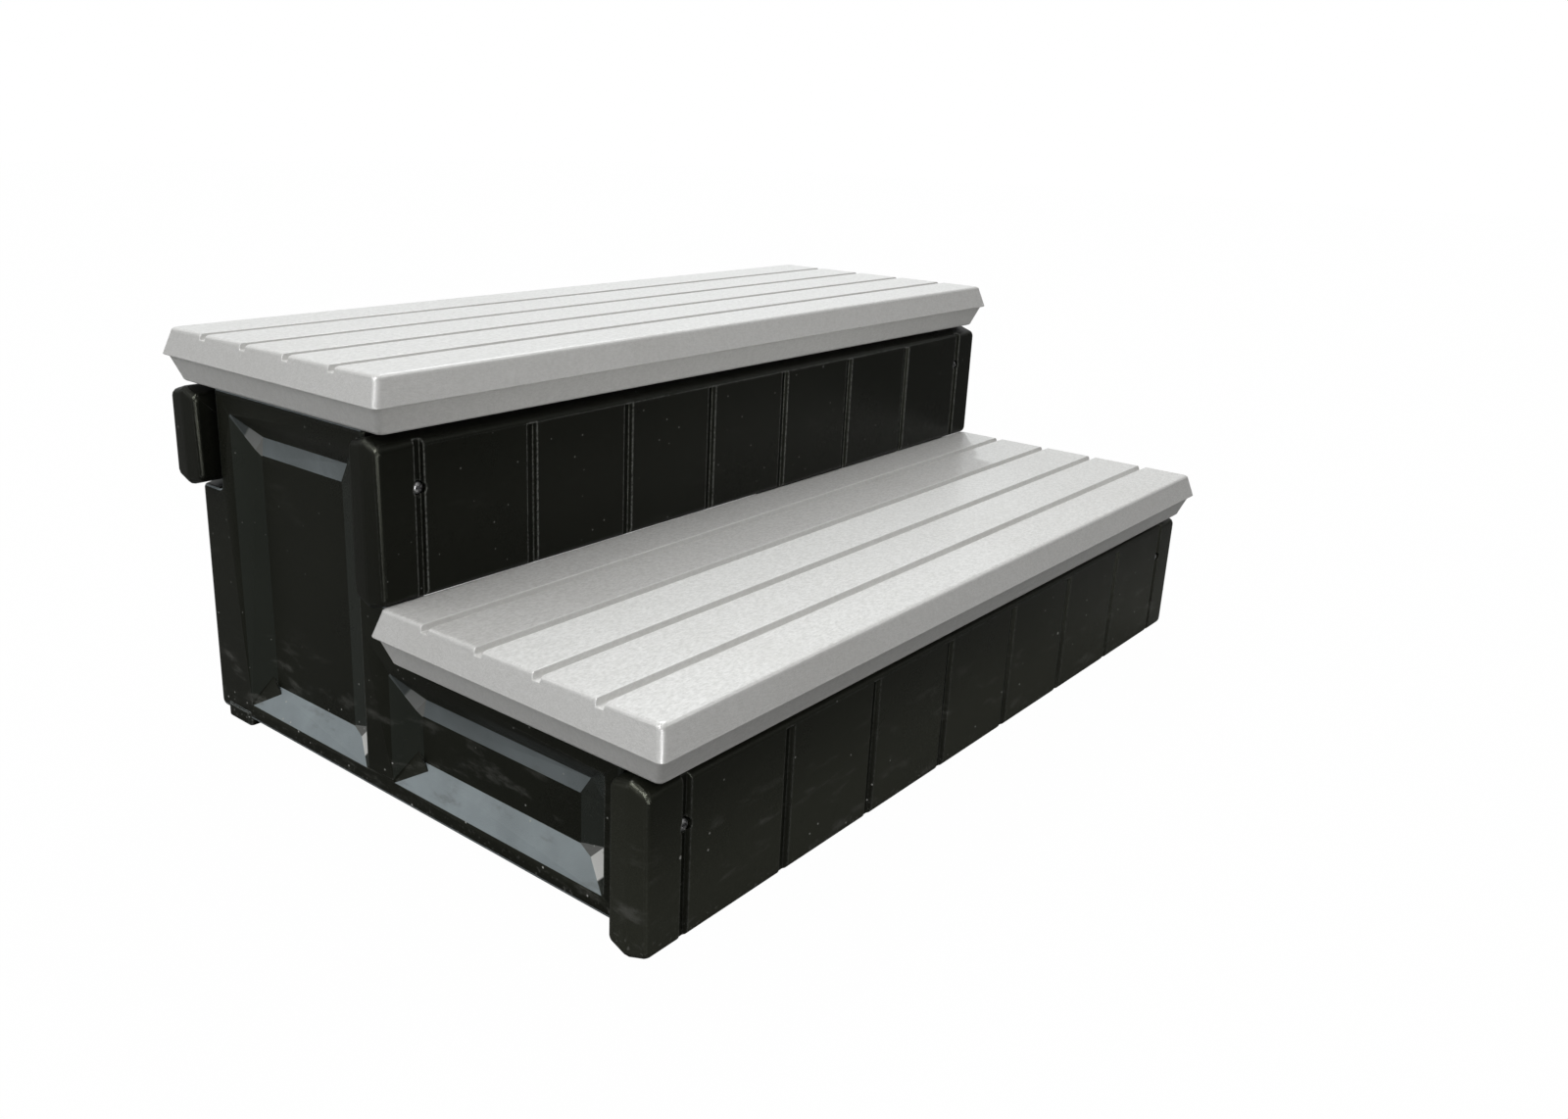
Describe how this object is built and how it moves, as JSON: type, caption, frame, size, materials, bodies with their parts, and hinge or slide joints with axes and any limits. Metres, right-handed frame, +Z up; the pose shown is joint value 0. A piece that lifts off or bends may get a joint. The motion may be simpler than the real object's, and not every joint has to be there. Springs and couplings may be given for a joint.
{
  "type": "spa steps",
  "caption": "Spa steps with black plastic end panels and grooved risers under light grey plank-grooved treads.",
  "frame": {"origin": "on the floor, at the middle of the overall length and of the overall depth", "axes": "+X along the treads to the right as one climbs, +Y from the front towards the spa, +Z up"},
  "size_m": [0.9144, 0.602, 0.3728],
  "materials": {
    "base_plastic": "satin black, fine moulded texture",
    "tread_plastic": "light warm grey, fine speckled texture",
    "screw_steel": "black zinc plated"
  },
  "bodies": {
    "root": {"right_end_panel": "base_plastic", "left_end_panel": "base_plastic", "lower_riser": "base_plastic", "upper_riser": "base_plastic", "rear_rail": "base_plastic", "lower_tread": "tread_plastic", "upper_tread": "tread_plastic", "lower_riser_screw_left": "screw_steel", "upper_riser_screw_left": "screw_steel", "rear_rail_screw_left": "screw_steel", "lower_tread_screw_left_front": "screw_steel", "lower_tread_screw_left_rear": "screw_steel", "upper_tread_screw_left_front": "screw_steel", "upper_tread_screw_left_rear": "screw_steel", "lower_riser_screw_right": "screw_steel", "upper_riser_screw_right": "screw_steel", "rear_rail_screw_right": "screw_steel", "lower_tread_screw_right_front": "screw_steel", "lower_tread_screw_right_rear": "screw_steel", "upper_tread_screw_right_front": "screw_steel", "upper_tread_screw_right_rear": "screw_steel"}
  },
  "joints": []
}
